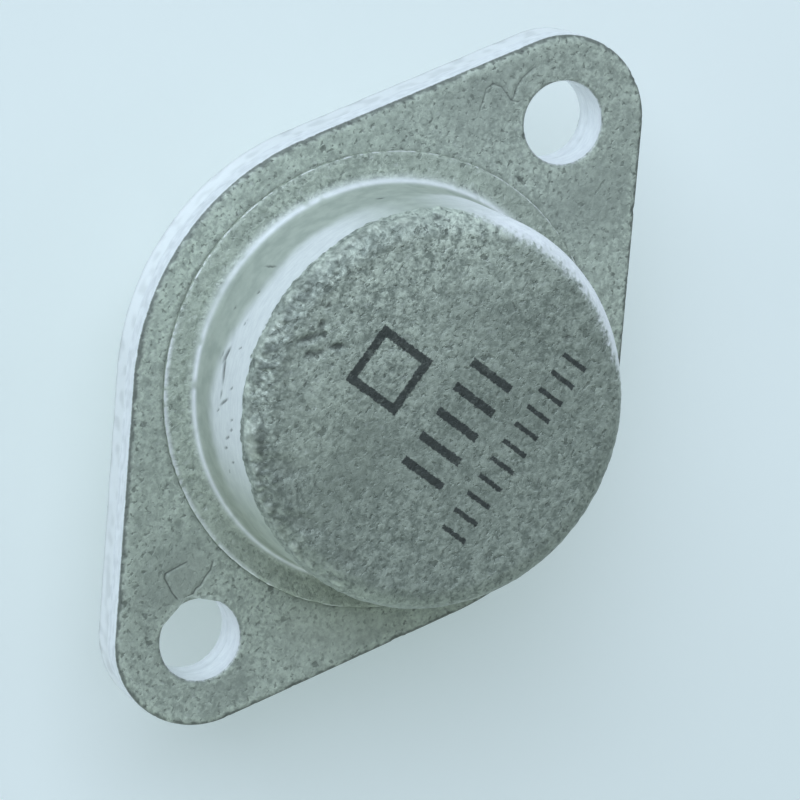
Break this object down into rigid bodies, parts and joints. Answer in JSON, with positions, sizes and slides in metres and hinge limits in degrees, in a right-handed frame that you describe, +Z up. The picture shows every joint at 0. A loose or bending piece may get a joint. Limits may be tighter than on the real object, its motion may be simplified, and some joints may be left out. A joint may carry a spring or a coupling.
{
  "type": "power transistor",
  "caption": "Power transistor in a diamond-shaped metal can package, with screw holes at both ends and leads below the base.",
  "frame": {"origin": "centre of the base's mounting face", "axes": "+X along the two screw holes, +Z up the can's axis, leads along -Z"},
  "size_m": [0.0386, 0.025, 0.0214],
  "materials": {
    "plated_base": "dull plated steel with a mottled grey tarnish and bright punched edges",
    "plated_can": "dull plated drawn steel, pitted and lumpy round the rim",
    "lead_alloy": "dull tinned nickel-iron wire",
    "seal_glass": "dark green sealing glass",
    "copper": "bare copper",
    "braze": "silver-copper braze",
    "solder": "dull solder",
    "silicon": "polished silicon with a metal pattern",
    "bond_wire": "bare drawn aluminium wire"
  },
  "bodies": {
    "root": {"header_flange": "plated_base", "cap": "plated_can", "gate_pin": "lead_alloy", "drain_pin": "lead_alloy", "gate_seal": "seal_glass", "drain_seal": "seal_glass", "heat_spreader": "copper", "spreader_braze": "braze", "die": "silicon", "die_solder": "solder", "gate_wire": "bond_wire", "drain_wire_1": "bond_wire", "drain_wire_2": "bond_wire"}
  },
  "joints": []
}
